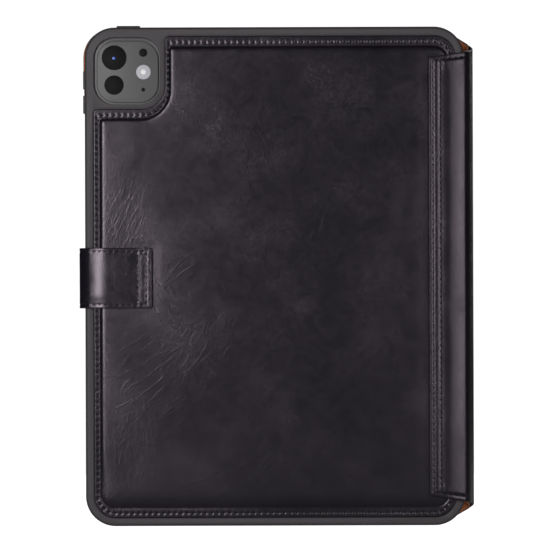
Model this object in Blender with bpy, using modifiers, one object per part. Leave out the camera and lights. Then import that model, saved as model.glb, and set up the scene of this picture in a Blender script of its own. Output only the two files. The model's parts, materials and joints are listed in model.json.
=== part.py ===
"""Leather folio case for a 13-inch class tablet, closed and standing upright on its short edge.

A moulded tray holds the tablet. The tray's back, covered in leather, faces -Y, and the front cover faces +Y.
The spine runs up the +X side and ends in a flap on the tray's back. A strap at -X closes the case.

Case coordinates, used for every dimension below, start at the tray: X from its middle, Y from the back face
of its shell towards the front cover, Z from its bottom edge. in_frame() moves them to the part's origin, the
middle of the bottom of the whole case.
"""

import math

import bmesh
import bpy
from mathutils import Matrix, Vector

MM = 0.001
GAP = 0.25 * MM  # between pieces that touch each other

# The tablet that the tray is made for
TABLET_WIDTH = 215.5 * MM
TABLET_HEIGHT = 281.6 * MM
TABLET_DEPTH = 5.1 * MM
TABLET_CORNER = 15.5 * MM
TABLET_ROOM = 0.3 * MM

# Tray shell
SHELL_WIDTH = 219.2 * MM
SHELL_HEIGHT = 288.4 * MM
SHELL_CORNER = 17.3 * MM
SHELL_EDGE = 1.6 * MM  # rounding of the outer edges
BACK_WALL = 2.6 * MM
TRAY_LINING = 0.45 * MM
LIP_HEIGHT = 1.0 * MM
LIP_OVERHANG = 1.5 * MM
RECESS = 1.0 * MM  # seat of the back leather

# Camera opening in the back wall, by its sides
CAMERA_LEFT, CAMERA_RIGHT = -104.3 * MM, -66.0 * MM
CAMERA_BOTTOM, CAMERA_TOP = 243.8 * MM, 282.6 * MM
CAMERA_CORNER = 12.0 * MM

# Openings in the tray's ends
PORT_WIDTH = 13.0 * MM
PORT_DEPTH = 4.8 * MM
BOTTOM_SPEAKER_X, TOP_SPEAKER_X = 72.0 * MM, 46.0 * MM
SPEAKER_WIDTH = 30.0 * MM
SPEAKER_DEPTH = 2.8 * MM

# Buttons
BUTTON_WIDTH = 3.4 * MM
BUTTON_PROUD = 1.0 * MM
BUTTON_EDGE = 0.5 * MM
BUTTON_FLANGE = 0.9 * MM  # how far the hidden flange stands out round the cap
POWER_X = (-91.1 * MM, -77.5 * MM)
VOLUME_UP_Z = (252.7 * MM, 263.3 * MM)
VOLUME_DOWN_Z = (238.6 * MM, 249.1 * MM)

# Leather and the layers behind it
LEATHER = 1.15 * MM
RIM_PROUD = 0.3 * MM  # of the back leather's rim, above the shell
PAD_RISE = 1.0 * MM  # of a padded centre, above its rim
PAD = 0.75 * MM
COVERING_LINING = 0.8 * MM
MAGNET = 0.45 * MM
STEEL = 0.5 * MM
THREAD = 0.2 * MM  # radius
STITCH_INSET = 2.4 * MM

# Back leather: left, right, bottom and top, and the corner cut away round the camera
BACK_LEFT, BACK_RIGHT = -104.6 * MM, 104.6 * MM
BACK_BOTTOM, BACK_TOP = 4.8 * MM, 283.2 * MM
BACK_CORNER = 12.3 * MM
NOTCH_X, NOTCH_Z = -63.0 * MM, 241.0 * MM
NOTCH_CORNER, NOTCH_ENDS = 13.5 * MM, 2.3 * MM
BACK_PAD_INSET = 5.4 * MM

# Folds: where the leather bends, seen from above, and the room it keeps free for the bend
BACK_COVERING = 2.4 * MM  # thickness of flap and strap, leather to lining
BACK_CLEARANCE = 0.3 * MM
FOLD_ROOM = 2.2 * MM
SPINE_BACK_X = 110.4 * MM
SPINE_FRONT_X = 113.6 * MM
SPINE_INNER, SPINE_OUTER = -0.9 * MM, 1.8 * MM  # the spine's faces, from the line between its folds
SPINE_BOTTOM, SPINE_TOP = 13.2 * MM, 276.1 * MM
SPINE_BOARD = 0.55 * MM

# Flap on the tray's back
FLAP_INNER_X = 89.3 * MM
FLAP_BOTTOM, FLAP_TOP = 19.0 * MM, 270.8 * MM  # at its inner edge; it widens towards the spine
FLAP_CORNER = 1.6 * MM
FLAP_ROWS_X = (90.9 * MM, 94.9 * MM)
FLAP_MAGNETS = 4
FLAP_MAGNET_LENGTH = 45.0 * MM

# Front cover
COVER_CLEARANCE = 0.4 * MM
COVER_LINING = 0.7 * MM
COVER_BOARD = 1.1 * MM
COVER_LEFT = -110.5 * MM
COVER_BOTTOM, COVER_TOP = 0.4 * MM, 288.0 * MM
COVER_CORNER = 17.0 * MM
COVER_CUT_X = 96.5 * MM  # where the corners at the spine start to slant
COVER_CUT_RISE = 10.0 * MM
COVER_CUT_CORNER = 9.0 * MM
COVER_PAD_INSET = 6.4 * MM
COVER_MAGNETS = 3
COVER_MAGNET_RADIUS = 4.0 * MM

# Strap
STRAP_BOTTOM, STRAP_TOP = 126.0 * MM, 160.9 * MM
STRAP_OUTER_X = -112.9 * MM
STRAP_THICKNESS = 2.3 * MM
STRAP_END_X = -70.8 * MM
STRAP_CORNER = 1.2 * MM
STRAP_ROWS_X = (-79.4 * MM, -74.1 * MM)

# Levels along Y
LINING_LEVEL = BACK_WALL + GAP
BAY_LEVEL = LINING_LEVEL + TRAY_LINING
LIP_LEVEL = BAY_LEVEL + TABLET_DEPTH + TABLET_ROOM
SHELL_FRONT = LIP_LEVEL + LIP_HEIGHT
PAD_LEVEL = -RIM_PROUD - PAD_RISE  # face of the back's padded centre
FLAP_FRONT = PAD_LEVEL - BACK_CLEARANCE
FLAP_BACK = FLAP_FRONT - BACK_COVERING
COVER_BACK = SHELL_FRONT + COVER_CLEARANCE
BOARD_LEVEL = COVER_BACK + COVER_LINING + GAP
COVER_RIM = BOARD_LEVEL + COVER_BOARD + GAP + LEATHER
COVER_FRONT = COVER_RIM + PAD_RISE
COVER_MIDDLE = (COVER_BACK + COVER_RIM) / 2
BUTTON_LEVEL = BAY_LEVEL + TABLET_DEPTH / 2

# Fold lines: (X, Y) of each vertical hinge axis
BACK_FOLD = Vector((SPINE_BACK_X, (FLAP_FRONT + FLAP_BACK) / 2))
FRONT_FOLD = Vector((SPINE_FRONT_X, COVER_MIDDLE))
STRAP_ROOT = Vector((STRAP_OUTER_X + STRAP_THICKNESS / 2, COVER_MIDDLE))
STRAP_BEND = Vector((STRAP_ROOT.x, BACK_FOLD.y))
SPINE_LENGTH = (FRONT_FOLD - BACK_FOLD).length
SPINE_ALONG = (FRONT_FOLD - BACK_FOLD).normalized()
SPINE_ACROSS = Vector((SPINE_ALONG.y, -SPINE_ALONG.x))  # outwards


def on_spine(along, across):
    """A point of the spine seen from above: how far past the back fold, and how far outwards."""
    return BACK_FOLD + SPINE_ALONG * along + SPINE_ACROSS * across


RIGHTMOST = on_spine(SPINE_LENGTH - FOLD_ROOM, SPINE_OUTER).x
REARMOST = FLAP_BACK - GAP / 2 - 2 * THREAD
MIDDLE = Vector(((STRAP_OUTER_X + RIGHTMOST) / 2, (REARMOST + COVER_FRONT) / 2, 0))

PAINT = {  # colour, roughness, metallic
    "shell_plastic": ((0.045, 0.042, 0.047), 0.55, 0.0),
    "button_plastic": ((0.03, 0.028, 0.031), 0.45, 0.0),
    "black_leather": ((0.022, 0.019, 0.022), 0.35, 0.0),
    "tan_lining": ((0.479, 0.117, 0.042), 0.9, 0.0),
    "black_lining": ((0.03, 0.03, 0.032), 0.95, 0.0),
    "foam": ((0.35, 0.35, 0.36), 0.95, 0.0),
    "board": ((0.3, 0.25, 0.19), 0.8, 0.0),
    "steel": ((0.56, 0.57, 0.58), 0.3, 1.0),
    "magnet": ((0.4, 0.4, 0.42), 0.25, 1.0),
    "thread": ((0.025, 0.023, 0.026), 0.7, 0.0),
}

for leftover in list(bpy.data.objects):
    bpy.data.objects.remove(leftover, do_unlink=True)

case = bpy.data.collections.new("tablet_case")
cutters = bpy.data.collections.new("tablet_case_cutters")
for collection in (case, cutters):
    bpy.context.scene.collection.children.link(collection)


def in_frame(x, y, z):
    return Vector((x, y, z)) - MIDDLE


def material(name):
    made = bpy.data.materials.get(name)
    if made is None:
        made = bpy.data.materials.new(name)
        made.use_nodes = True
        colour, roughness, metallic = PAINT[name]
        shader = made.node_tree.nodes["Principled BSDF"]
        shader.inputs["Base Color"].default_value = (*colour, 1)
        shader.inputs["Roughness"].default_value = roughness
        shader.inputs["Metallic"].default_value = metallic
    return made


def axis(name, fold=None, parent=None):
    """The empty that a body hangs from. A folding body's empty stands on its fold line."""
    empty = bpy.data.objects.new(name, None)
    empty.location = in_frame(fold.x, fold.y, 0) if fold else (0, 0, 0)
    case.objects.link(empty)
    bpy.context.view_layer.update()
    if parent:
        hang(empty, parent)
    return empty


def hang(piece, parent):
    """Parents a piece without moving it."""
    bpy.context.view_layer.update()
    piece.parent = parent
    piece.matrix_parent_inverse = parent.matrix_world.inverted()


def outline(corners, steps=6):
    """Points round a closed outline. Each corner is (x, z, radius), and an arc replaces one with a radius."""
    points = []
    for i, (x, z, radius) in enumerate(corners):
        here = Vector((x, z))
        back = (Vector(corners[i - 1][:2]) - here).normalized()
        ahead = (Vector(corners[(i + 1) % len(corners)][:2]) - here).normalized()
        if not radius:
            points.append(here)
            continue
        half = back.angle(ahead) / 2
        centre = here + (back + ahead).normalized() * radius / math.sin(half)
        spoke = here + back * radius / math.tan(half) - centre
        turn = math.copysign(math.pi - 2 * half, -back.cross(ahead))
        for step in range(steps + 1):
            points.append(centre + Matrix.Rotation(turn * step / steps, 2) @ spoke)
    return points


def grown(corners, by):
    """The same outline (listed anticlockwise) moved outwards, or inwards where by is below 0."""
    moved = []
    for i, (x, z, radius) in enumerate(corners):
        here = Vector((x, z))
        before = (here - Vector(corners[i - 1][:2])).normalized()
        after = (Vector(corners[(i + 1) % len(corners)][:2]) - here).normalized()
        outwards = Vector((before.y + after.y, -before.x - after.x)) / (1 + before.dot(after))
        convex = before.cross(after) > 0
        spot = here + outwards * by
        moved.append((spot.x, spot.y, max(radius + (by if convex else -by), 0.3 * MM)))
    return moved


def rounded_rectangle(left, right, bottom, top, radius):
    return [(left, bottom, radius), (right, bottom, radius), (right, top, radius), (left, top, radius)]


def flat_mesh(name, points, thickness):
    """A filled 2D curve, extruded, as a mesh with its caps welded on."""
    curve = bpy.data.curves.new(name, "CURVE")
    curve.dimensions = "2D"
    curve.fill_mode = "BOTH"
    curve.extrude = thickness / 2
    spline = curve.splines.new("POLY")
    spline.points.add(len(points) - 1)
    spline.use_cyclic_u = True
    for knot, point in zip(spline.points, points):
        knot.co = (point.x, point.y, 0, 1)
    drawn = bpy.data.objects.new(name + "_outline", curve)
    cutters.objects.link(drawn)
    bpy.context.view_layer.update()
    mesh = bpy.data.meshes.new_from_object(drawn.evaluated_get(bpy.context.evaluated_depsgraph_get()))
    bpy.data.objects.remove(drawn, do_unlink=True)
    shape = bmesh.new()
    shape.from_mesh(mesh)
    bmesh.ops.remove_doubles(shape, verts=shape.verts, dist=0.001 * MM)
    bmesh.ops.recalc_face_normals(shape, faces=shape.faces)
    shape.to_mesh(mesh)
    shape.free()
    return mesh


def finished(name, mesh, location, paint, parent):
    """Adds a part of the case, or a cutter where it has no paint."""
    piece = bpy.data.objects.new(name, mesh)
    piece.location = location
    if paint:
        case.objects.link(piece)
        mesh.materials.clear()
        mesh.materials.append(material(paint))
        hang(piece, parent)
    else:
        cutters.objects.link(piece)
        piece.hide_render = True
        piece.display_type = "WIRE"
    return piece


def panel(name, corners, low, high, paint=None, parent=None, steps=6):
    """A flat piece that faces the back and the front: an outline in X and Z between two levels of Y."""
    mesh = flat_mesh(name, outline(corners, steps), high - low)
    mesh.transform(Matrix.Rotation(math.pi / 2, 4, "X"))
    return finished(name, mesh, in_frame(0, (low + high) / 2, 0), paint, parent)


def upright(name, points, bottom, top, paint, parent):
    """A piece with the same cross-section, in X and Y, all the way up."""
    mesh = flat_mesh(name, points, top - bottom)
    return finished(name, mesh, in_frame(0, 0, (bottom + top) / 2), paint, parent)


def block(name, low, high, paint=None, parent=None):
    """A box between two corners."""
    low, high = in_frame(*low), in_frame(*high)
    shape = bmesh.new()
    bmesh.ops.create_cube(shape, size=1, matrix=Matrix.Diagonal((*(high - low), 1)))
    mesh = bpy.data.meshes.new(name)
    shape.to_mesh(mesh)
    shape.free()
    return finished(name, mesh, (low + high) / 2, paint, parent)


def disc(name, centre, radius, thickness, paint=None, parent=None):
    """A round plate that faces the back and the front."""
    shape = bmesh.new()
    turned = Matrix.Rotation(math.pi / 2, 4, "X")
    size = {"radius1": radius, "radius2": radius, "depth": thickness}
    bmesh.ops.create_cone(shape, cap_ends=True, segments=20, matrix=turned, **size)
    mesh = bpy.data.meshes.new(name)
    shape.to_mesh(mesh)
    shape.free()
    return finished(name, mesh, in_frame(*centre), paint, parent)


def combine(piece, other, operation="DIFFERENCE", solver="EXACT"):
    step = piece.modifiers.new(other.name, "BOOLEAN")
    step.operation = operation
    step.solver = solver
    step.object = other


def round_edges(piece, width, segments):
    bevel = piece.modifiers.new("rounded edges", "BEVEL")
    bevel.width = width
    bevel.segments = segments
    bevel.limit_method = "ANGLE"
    bevel.angle_limit = math.radians(50)


def thread(name, points, level, parent, closed=True):
    """A line of sewing thread through points in X and Z, at one level of Y."""
    curve = bpy.data.curves.new(name, "CURVE")
    curve.dimensions = "3D"
    curve.bevel_depth = THREAD
    curve.bevel_resolution = 1
    curve.use_fill_caps = True
    spline = curve.splines.new("POLY")
    spline.points.add(len(points) - 1)
    spline.use_cyclic_u = closed
    for knot, point in zip(spline.points, points):
        knot.co = (*in_frame(point[0], level, point[1]), 1)
    curve.materials.append(material("thread"))
    piece = bpy.data.objects.new(name, curve)
    case.objects.link(piece)
    hang(piece, parent)
    return piece


def padded_leather(name, rim, centre, outer, inwards, parent):
    """A leather panel whose middle stands PAD_RISE above its rim, hollow behind for the pad.

    outer is the level of the rim's outer face, and inwards is +1 or -1, the way from there into the case.
    """
    low, high = sorted((outer, outer + inwards * LEATHER))
    leather = panel(name, rim, low, high, "black_leather", parent)
    top = outer - inwards * PAD_RISE
    overlap = outer + inwards * LEATHER / 2
    crown = panel(name + "_crown", centre, *sorted((top, overlap)))
    round_edges(crown, PAD_RISE * 0.6, 2)
    hollow_face = top + inwards * LEATHER
    open_side = outer + inwards * LEATHER * 2
    hollow = panel(name + "_hollow", grown(centre, -LEATHER), *sorted((hollow_face, open_side)))
    combine(leather, crown, "UNION")
    combine(leather, hollow)
    return leather


tray_axis = axis("tray_axis")
spine_axis = axis("spine_axis", BACK_FOLD, tray_axis)
cover_axis = axis("cover_axis", FRONT_FOLD, spine_axis)
strap_side_axis = axis("strap_side_axis", STRAP_ROOT, cover_axis)
strap_tab_axis = axis("strap_tab_axis", STRAP_BEND, strap_side_axis)

tablet = rounded_rectangle(
    -TABLET_WIDTH / 2,
    TABLET_WIDTH / 2,
    (SHELL_HEIGHT - TABLET_HEIGHT) / 2,
    (SHELL_HEIGHT + TABLET_HEIGHT) / 2,
    TABLET_CORNER,
)
bay = grown(tablet, TABLET_ROOM)
BAY_LEFT = bay[0][0]
BAY_TOP = bay[2][1]
camera = rounded_rectangle(CAMERA_LEFT, CAMERA_RIGHT, CAMERA_BOTTOM, CAMERA_TOP, CAMERA_CORNER)
back_rim = [
    (BACK_LEFT, BACK_BOTTOM, BACK_CORNER),
    (BACK_RIGHT, BACK_BOTTOM, BACK_CORNER),
    (BACK_RIGHT, BACK_TOP, BACK_CORNER),
    (NOTCH_X, BACK_TOP, NOTCH_ENDS),
    (NOTCH_X, NOTCH_Z, NOTCH_CORNER),
    (BACK_LEFT, NOTCH_Z, NOTCH_ENDS),
]
back_centre = grown(back_rim, -BACK_PAD_INSET)


def cut_shell(shell, cutter):
    """EXACT leaves open edges on the shell's many thin faces, and both meshes are closed."""
    combine(shell, cutter, solver="MANIFOLD")


def make_shell():
    outer = rounded_rectangle(-SHELL_WIDTH / 2, SHELL_WIDTH / 2, 0, SHELL_HEIGHT, SHELL_CORNER)
    shell = panel("tray_shell", outer, 0, SHELL_FRONT, "shell_plastic", tray_axis, steps=8)
    round_edges(shell, SHELL_EDGE, 3)
    past = 2 * MM  # how far a cutter runs past the face it opens
    cut_shell(shell, panel("leather_seat", grown(back_rim, GAP), -past, RECESS))
    cut_shell(shell, panel("bay", bay, BACK_WALL, LIP_LEVEL, steps=8))
    screen = grown(tablet, -LIP_OVERHANG)
    cut_shell(shell, panel("screen_opening", screen, LIP_LEVEL - past, SHELL_FRONT + past, steps=8))
    cut_shell(shell, panel("camera_opening", camera, -past, BACK_WALL + past))
    slot = Vector((SPEAKER_WIDTH, SPEAKER_DEPTH, 6 * past)) / 2
    for side, z, speaker_x in (("bottom", 0, BOTTOM_SPEAKER_X), ("top", SHELL_HEIGHT, TOP_SPEAKER_X)):
        for end, x in (("left", -speaker_x), ("right", speaker_x)):
            middle = Vector((x, BUTTON_LEVEL, z))
            cut_shell(shell, block(f"speaker_{side}_{end}", middle - slot, middle + slot))
    port = Vector((PORT_WIDTH, PORT_DEPTH, 6 * past)) / 2
    middle = Vector((0, BUTTON_LEVEL, 0))
    cut_shell(shell, block("port", middle - port, middle + port))
    return shell


def make_button(name, shell, span, inside, outside, upwards):
    """A captive button: a cap through the wall and a flange in a pocket behind it.

    span is its two ends along the wall, and inside and outside are the wall's faces: X, or Z where it is upwards.
    """
    way = math.copysign(1, outside - inside)
    wall = abs(outside - inside)
    pocket = wall * 0.45

    def box(label, nearest, furthest, spread, paint=None, parent=None):
        """A box from nearest to furthest, both measured outwards from the bay, widened by spread."""
        near, far = sorted((inside + way * nearest, inside + way * furthest))
        start, end = span[0] - spread, span[1] + spread
        back = BUTTON_LEVEL - BUTTON_WIDTH / 2 - spread
        front = BUTTON_LEVEL + BUTTON_WIDTH / 2 + spread
        if upwards:
            return block(label, (start, back, near), (end, front, far), paint, parent)
        return block(label, (near, back, start), (far, front, end), paint, parent)

    flange_front = pocket - GAP
    flange_back = flange_front - (pocket - GAP) * 0.75
    button = box(name, (flange_back + flange_front) / 2, wall + BUTTON_PROUD, 0, "button_plastic", tray_axis)
    round_edges(button, BUTTON_EDGE, 2)
    combine(button, box(name + "_flange", flange_back, flange_front, BUTTON_FLANGE), "UNION")
    cut_shell(shell, box(name + "_slot", -GAP, wall + 2 * BUTTON_PROUD, GAP))
    cut_shell(shell, box(name + "_pocket", -GAP, pocket, BUTTON_FLANGE + GAP))
    return button


def make_tray():
    shell = make_shell()
    make_button("power_button", shell, POWER_X, BAY_TOP, SHELL_HEIGHT, upwards=True)
    for name, span in (("volume_up_button", VOLUME_UP_Z), ("volume_down_button", VOLUME_DOWN_Z)):
        make_button(name, shell, span, BAY_LEFT, -SHELL_WIDTH / 2, upwards=False)
    inside_bay = grown(tablet, TABLET_ROOM - GAP)
    lining = panel("tray_lining", inside_bay, LINING_LEVEL, BAY_LEVEL, "black_lining", tray_axis)
    combine(lining, panel("lining_camera", grown(camera, GAP), LINING_LEVEL - MM, BAY_LEVEL + MM))


def make_back():
    """Leather, pad and steel on the tray's back."""
    rim_level = -RIM_PROUD
    padded_leather("back_leather", back_rim, back_centre, rim_level, 1, tray_axis)
    pad_face = PAD_LEVEL + LEATHER + GAP
    pad = panel("back_pad", grown(back_centre, -LEATHER - GAP), pad_face, pad_face + PAD, "foam", tray_axis)
    strap_steel = rounded_rectangle(
        STRAP_ROWS_X[0] - MM, STRAP_ROWS_X[1] + MM, STRAP_BOTTOM + 3 * MM, STRAP_TOP - 3 * MM, MM
    )
    flap_steel = rounded_rectangle(
        FLAP_ROWS_X[0] - MM, FLAP_ROWS_X[1] + MM, FLAP_BOTTOM + 6 * MM, FLAP_TOP - 6 * MM, MM
    )
    steel_level = pad_face + (PAD - STEEL) / 2
    for name, shape in (("strap_catch_plate", strap_steel), ("flap_catch_plate", flap_steel)):
        panel(name, shape, steel_level, steel_level + STEEL, "steel", tray_axis, steps=3)
        window = panel(name + "_window", grown(shape, GAP), pad_face - MM, pad_face + PAD + MM, steps=3)
        combine(pad, window)
    stitches = outline(grown(back_rim, -STITCH_INSET))
    thread("back_thread", stitches, rim_level - THREAD - GAP / 2, tray_axis)


def covering(name, corners, paint, low, high, parent, magnet_pockets=()):
    """One layer of the flap or of the strap's tab, with pockets for the magnets sewn into it."""
    layer = panel(name, corners, low, high, paint, parent, steps=3)
    for i, pocket in enumerate(magnet_pockets):
        combine(layer, panel(f"{name}_pocket_{i}", pocket, high - MAGNET, high + MM, steps=1))
    return layer


def bar_magnet(name, bar, parent):
    """A bar magnet in its pocket in the leather over it."""
    left, right, bottom, top = bar
    level = FLAP_BACK + LEATHER - MAGNET + GAP
    return block(name, (left, level, bottom), (right, level + MAGNET, top), "magnet", parent)


def pocket_round(magnet):
    left, right, bottom, top = magnet
    return rounded_rectangle(left - GAP, right + GAP, bottom - GAP, top + GAP, 0)


def make_flap():
    """The spine's end on the tray's back: leather, magnets and lining, sewn round and along two rows."""
    fold_x = SPINE_BACK_X - FOLD_ROOM
    share = (fold_x - FLAP_INNER_X) / (SPINE_FRONT_X - FLAP_INNER_X)
    bottom = FLAP_BOTTOM + (SPINE_BOTTOM - FLAP_BOTTOM) * share
    top = FLAP_TOP + (SPINE_TOP - FLAP_TOP) * share
    shape = [
        (FLAP_INNER_X, FLAP_BOTTOM, FLAP_CORNER),
        (fold_x, bottom, 0.3 * MM),
        (fold_x, top, 0.3 * MM),
        (FLAP_INNER_X, FLAP_TOP, FLAP_CORNER),
    ]
    left, right = (x + s * 0.5 * MM for x, s in zip(FLAP_ROWS_X, (1, -1)))
    first = FLAP_BOTTOM + 8 * MM
    pitch = (FLAP_TOP - FLAP_BOTTOM - 16 * MM - FLAP_MAGNET_LENGTH) / (FLAP_MAGNETS - 1)
    bars = [
        (left, right, first + pitch * i, first + pitch * i + FLAP_MAGNET_LENGTH) for i in range(FLAP_MAGNETS)
    ]
    leather_inside = FLAP_BACK + LEATHER
    pockets = [pocket_round(bar) for bar in bars]
    covering("flap_leather", shape, "black_leather", FLAP_BACK, leather_inside, tray_axis, pockets)
    covering("flap_lining", shape, "tan_lining", FLAP_FRONT - COVERING_LINING, FLAP_FRONT, tray_axis)
    for i, bar in enumerate(bars):
        bar_magnet(f"flap_magnet_{i + 1}", bar, tray_axis)
    level = FLAP_BACK - THREAD - GAP / 2
    thread("flap_edge_thread", outline(grown(shape, -1.6 * MM), 2), level, tray_axis)
    second_row = [
        Vector((FLAP_ROWS_X[1], FLAP_BOTTOM + 2.5 * MM)),
        Vector((FLAP_ROWS_X[1], FLAP_TOP - 2.5 * MM)),
    ]
    thread("flap_row_thread", second_row, level, tray_axis, closed=False)


def make_spine():
    """Leather, stiffener and lining between the two folds."""
    start, end = FOLD_ROOM, SPINE_LENGTH - FOLD_ROOM
    board_outer = SPINE_OUTER - LEATHER - GAP
    layers = (
        ("spine_leather", "black_leather", SPINE_OUTER - LEATHER, SPINE_OUTER, 0),
        ("spine_stiffener", "board", board_outer - SPINE_BOARD, board_outer, 1.5 * MM),
        ("spine_lining", "tan_lining", SPINE_INNER, board_outer - SPINE_BOARD - GAP, 0),
    )
    for name, paint, inner, outer, short in layers:
        section = [
            on_spine(start + short, inner),
            on_spine(start + short, outer),
            on_spine(end - short, outer),
            on_spine(end - short, inner),
        ]
        upright(name, section, SPINE_BOTTOM + short, SPINE_TOP - short, paint, spine_axis)


def make_cover():
    """Front cover: lining, board with its magnets, pad and leather."""
    fold_x = SPINE_FRONT_X - FOLD_ROOM
    shape = [
        (COVER_LEFT, COVER_BOTTOM, COVER_CORNER),
        (COVER_CUT_X, COVER_BOTTOM, COVER_CUT_CORNER),
        (fold_x, COVER_BOTTOM + COVER_CUT_RISE, COVER_CUT_CORNER / 2),
        (fold_x, COVER_TOP - COVER_CUT_RISE, COVER_CUT_CORNER / 2),
        (COVER_CUT_X, COVER_TOP, COVER_CUT_CORNER),
        (COVER_LEFT, COVER_TOP, COVER_CORNER),
    ]
    panel("cover_lining", shape, COVER_BACK, COVER_BACK + COVER_LINING, "tan_lining", cover_axis)
    inner = grown(shape, -2 * MM)
    board = panel("cover_board", inner, BOARD_LEVEL, BOARD_LEVEL + COVER_BOARD, "board", cover_axis)
    centre = grown(shape, -COVER_PAD_INSET)
    padded_leather("cover_leather", shape, centre, COVER_RIM, -1, cover_axis)
    pad_face = COVER_FRONT - LEATHER - GAP
    panel("cover_pad", grown(centre, -LEATHER - GAP), pad_face - PAD, pad_face, "foam", cover_axis)
    for i in range(COVER_MAGNETS):
        z = COVER_BOTTOM + (COVER_TOP - COVER_BOTTOM) * (i + 0.5) / COVER_MAGNETS
        spot = (COVER_LEFT + 12 * MM, BOARD_LEVEL + COVER_BOARD / 2, z)
        disc(f"cover_magnet_{i + 1}", spot, COVER_MAGNET_RADIUS, COVER_BOARD - GAP, "magnet", cover_axis)
        combine(board, disc(f"cover_magnet_hole_{i + 1}", spot, COVER_MAGNET_RADIUS + GAP, 2 * COVER_BOARD))
    thread("cover_thread", outline(grown(shape, -STITCH_INSET)), COVER_RIM + THREAD + GAP / 2, cover_axis)


def make_strap():
    """The strap from the cover's free edge: round the tray's side, then on to its back."""
    side_low, side_high = STRAP_BEND.y + FOLD_ROOM, STRAP_ROOT.y - FOLD_ROOM
    inner_x = STRAP_OUTER_X + STRAP_THICKNESS
    for name, left, right, paint in (
        ("strap_side_leather", STRAP_OUTER_X, STRAP_OUTER_X + LEATHER, "black_leather"),
        ("strap_side_lining", inner_x - COVERING_LINING, inner_x, "tan_lining"),
    ):
        low, high = (left, side_low, STRAP_BOTTOM), (right, side_high, STRAP_TOP)
        block(name, low, high, paint, strap_side_axis)
    tab_start = STRAP_BEND.x + FOLD_ROOM
    shape = [
        (tab_start, STRAP_BOTTOM, 0.2 * MM),
        (STRAP_END_X, STRAP_BOTTOM, STRAP_CORNER),
        (STRAP_END_X, STRAP_TOP, STRAP_CORNER),
        (tab_start, STRAP_TOP, 0.2 * MM),
    ]
    bar = (STRAP_ROWS_X[0] + 0.5 * MM, STRAP_ROWS_X[1] - 0.5 * MM, STRAP_BOTTOM + 3 * MM, STRAP_TOP - 3 * MM)
    leather_inside = FLAP_BACK + LEATHER
    pockets = [pocket_round(bar)]
    covering("strap_tab_leather", shape, "black_leather", FLAP_BACK, leather_inside, strap_tab_axis, pockets)
    covering("strap_tab_lining", shape, "tan_lining", FLAP_FRONT - COVERING_LINING, FLAP_FRONT, strap_tab_axis)
    bar_magnet("strap_magnet", bar, strap_tab_axis)
    level = FLAP_BACK - THREAD - GAP / 2
    thread("strap_edge_thread", outline(grown(shape, -STITCH_INSET), 2), level, strap_tab_axis)
    second_row = [
        Vector((STRAP_ROWS_X[0], STRAP_BOTTOM + 3 * MM)),
        Vector((STRAP_ROWS_X[0], STRAP_TOP - 3 * MM)),
    ]
    thread("strap_row_thread", second_row, level, strap_tab_axis, closed=False)


make_tray()
make_back()
make_flap()
make_spine()
make_cover()
make_strap()

for part in case.objects:
    if part.type == "MESH":
        part.data.shade_smooth()
        part.data.set_sharp_from_angle(angle=math.radians(30))
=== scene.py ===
"""Looks of the leather tablet case: leather, linings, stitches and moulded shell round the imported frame.

Sheets of leather and lining are first made flat, in millimetres: u along the sheet, v up the case and w
out of its face. A route then bends them round the folds. Case millimetres are X from the tray's middle,
Y from the back face of its shell and Z from its bottom edge. place() turns them into the frame's metres.
"""

import json
import math

import bmesh
import bpy
import numpy as np
from mathutils import Matrix, Vector, noise
from mathutils.geometry import delaunay_2d_cdt


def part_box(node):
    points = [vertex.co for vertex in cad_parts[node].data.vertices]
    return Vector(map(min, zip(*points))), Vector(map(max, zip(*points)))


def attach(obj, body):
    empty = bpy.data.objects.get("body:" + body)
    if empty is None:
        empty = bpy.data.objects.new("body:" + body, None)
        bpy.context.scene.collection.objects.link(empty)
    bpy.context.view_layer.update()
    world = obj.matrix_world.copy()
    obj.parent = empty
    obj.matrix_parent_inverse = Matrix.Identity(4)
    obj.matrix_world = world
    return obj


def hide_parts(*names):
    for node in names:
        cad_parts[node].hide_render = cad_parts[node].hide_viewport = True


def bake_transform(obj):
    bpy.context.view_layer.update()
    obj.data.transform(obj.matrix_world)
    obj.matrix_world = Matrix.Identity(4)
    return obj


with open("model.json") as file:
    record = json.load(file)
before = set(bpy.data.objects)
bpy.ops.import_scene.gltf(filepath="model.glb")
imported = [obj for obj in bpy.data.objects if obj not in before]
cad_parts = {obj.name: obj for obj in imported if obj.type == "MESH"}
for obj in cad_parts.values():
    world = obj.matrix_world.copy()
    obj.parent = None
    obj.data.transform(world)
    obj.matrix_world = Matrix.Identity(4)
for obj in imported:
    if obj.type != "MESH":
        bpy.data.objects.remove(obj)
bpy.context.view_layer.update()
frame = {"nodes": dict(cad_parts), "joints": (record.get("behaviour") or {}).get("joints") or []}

MM = 0.001
SHELL_LOW, SHELL_HIGH = (np.array(corner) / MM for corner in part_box("tray_shell"))
WIDTH = SHELL_HIGH[0] - SHELL_LOW[0]
HEIGHT = SHELL_HIGH[2] - SHELL_LOW[2]
DEPTH = SHELL_HIGH[1] - SHELL_LOW[1]
MIDDLE_X = (SHELL_LOW[0] + SHELL_HIGH[0]) / 2
CASE_ORIGIN = np.array((MIDDLE_X, SHELL_LOW[1], SHELL_LOW[2]))


def case_box(node):
    """A node's lowest and highest corners in case millimetres."""
    return tuple(np.array(corner) / MM - CASE_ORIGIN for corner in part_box(node))


def place(points):
    """Case millimetres to the frame's metres."""
    return (np.asarray(points, float) + CASE_ORIGIN) * MM


# ---------------------------------------------------------------- outlines


def rounded_rectangle(left, right, bottom, top, radius):
    return [(left, bottom, radius), (right, bottom, radius), (right, top, radius), (left, top, radius)]


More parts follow.
